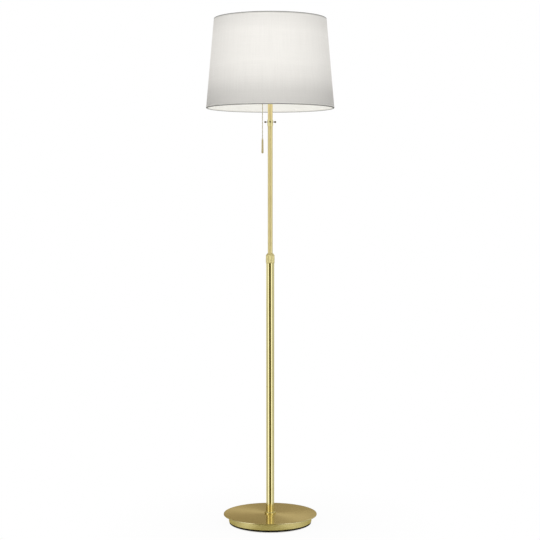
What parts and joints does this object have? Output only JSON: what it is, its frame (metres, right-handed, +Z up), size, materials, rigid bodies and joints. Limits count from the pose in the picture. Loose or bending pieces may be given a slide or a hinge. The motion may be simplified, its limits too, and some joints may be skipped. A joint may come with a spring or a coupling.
{
  "type": "adjustable floor lamp",
  "caption": "Floor lamp with a round weighted base, a telescopic brass pole locked by a knurled twist ring, and a turning tapered fabric shade switched by a bead pull chain.",
  "frame": {"origin": "centre of the base on the floor", "axes": "+Z up along the pole, +X to the right as pictured, front towards -Y"},
  "size_m": [0.3995, 0.3996, 1.5815],
  "materials": {
    "satin_brass": "satin, brushed",
    "black_rubber": "matt",
    "cast_iron": "rough",
    "zinc_steel": "zinc plated",
    "black_plastic": "satin",
    "white_nylon": "satin",
    "nickel": "bright",
    "opal_glass": "opal",
    "white_wire": "satin",
    "shade_fabric": "fine woven",
    "shade_liner": "satin"
  },
  "bodies": {
    "stand": {"base_foot_ring": "black_rubber", "base_bottom_plate": "zinc_steel", "base_weight": "cast_iron", "base_skirt": "satin_brass", "base_disc": "satin_brass", "cord_inlet_bush": "black_plastic", "base_nipple": "zinc_steel", "base_washer": "zinc_steel", "base_nut": "zinc_steel", "pole_foot_collar": "satin_brass", "pole_foot_plug": "zinc_steel", "lower_pole": "satin_brass", "upper_pole": "satin_brass", "pole_coupler": "zinc_steel", "clamp_seat": "zinc_steel", "clamp_collet": "white_nylon"},
    "clamp_ring": {"clamp_ring": "satin_brass"},
    "rod": {"telescopic_rod": "satin_brass", "rod_stop_bush": "white_nylon", "rod_spigot": "zinc_steel"},
    "head": {"head_collar": "satin_brass", "head_tube": "satin_brass", "head_tube_plug": "zinc_steel", "holder_nipple": "zinc_steel", "holder_cap": "black_plastic", "switch_block": "black_plastic", "chain_nozzle": "satin_brass", "plunger_spring": "zinc_steel", "holder_shell": "black_plastic", "contact_block": "white_nylon", "screw_shell": "nickel", "centre_contact": "nickel", "shade_nut_lower": "black_plastic", "shade_nut_upper": "black_plastic", "bulb_cap": "nickel", "bulb_globe": "opal_glass", "shade_bottom_ring": "white_wire", "shade_top_ring": "white_wire", "shade_fitter_ring": "white_wire", "spider_arms": "white_wire", "shade_bottom_hem": "shade_fabric", "shade_top_hem": "shade_fabric", "shade_fabric": "shade_fabric", "shade_liner": "shade_liner"},
    "thumbscrew_front": {"thumbscrew_front": "satin_brass"},
    "thumbscrew_right": {"thumbscrew_right": "satin_brass"},
    "thumbscrew_back": {"thumbscrew_back": "satin_brass"},
    "thumbscrew_left": {"thumbscrew_left": "satin_brass"},
    "pull_plunger": {"pull_plunger": "zinc_steel"},
    "pull_chain": {"pull_chain": "satin_brass"},
    "pull_bell": {"pull_bell": "satin_brass"}
  },
  "joints": [
    {"name": "height_slide", "type": "slide", "parent": "stand", "child": "rod", "axis": [0, 0, 1], "range_m": [-0.385, 0.15]},
    {"name": "clamp_turn", "type": "hinge", "parent": "stand", "child": "clamp_ring", "pos_m": [0, 0, 0.8375], "axis": [0, 0, 1], "range_deg": [0, 180]},
    {"name": "head_turn", "type": "hinge", "parent": "rod", "child": "head", "pos_m": [0, 0, 1.2618], "axis": [0, 0, 1], "range_deg": [-170, 170]},
    {"name": "screw_front_turn", "type": "hinge", "parent": "head", "child": "thumbscrew_front", "pos_m": [0, -0.0154, 1.2618], "axis": [0, -1, 0], "range_deg": [0, 360]},
    {"name": "screw_right_turn", "type": "hinge", "parent": "head", "child": "thumbscrew_right", "pos_m": [0.0154, 0, 1.2618], "axis": [1, 0, 0], "range_deg": [0, 360]},
    {"name": "screw_back_turn", "type": "hinge", "parent": "head", "child": "thumbscrew_back", "pos_m": [0, 0.0154, 1.2618], "axis": [0, 1, 0], "range_deg": [0, 360]},
    {"name": "screw_left_turn", "type": "hinge", "parent": "head", "child": "thumbscrew_left", "pos_m": [-0.0154, 0, 1.2618], "axis": [-1, 0, 0], "range_deg": [0, 360]},
    {"name": "chain_pull", "type": "slide", "parent": "head", "child": "pull_plunger", "axis": [0, 0, -1], "range_m": [0, 0.006], "stiffness_N_per_m": 300, "springref_m": -0.006, "deforming": ["plunger_spring"]},
    {"name": "chain_swing", "type": "hinge", "parent": "pull_plunger", "child": "pull_chain", "pos_m": [-0.0241, 0, 1.3605], "axis": [1, 0, 0], "range_deg": [-35, 35]},
    {"name": "bell_swing", "type": "hinge", "parent": "pull_chain", "child": "pull_bell", "pos_m": [-0.0241, 0, 1.2125], "axis": [0, 1, 0], "range_deg": [-6, 60]}
  ]
}
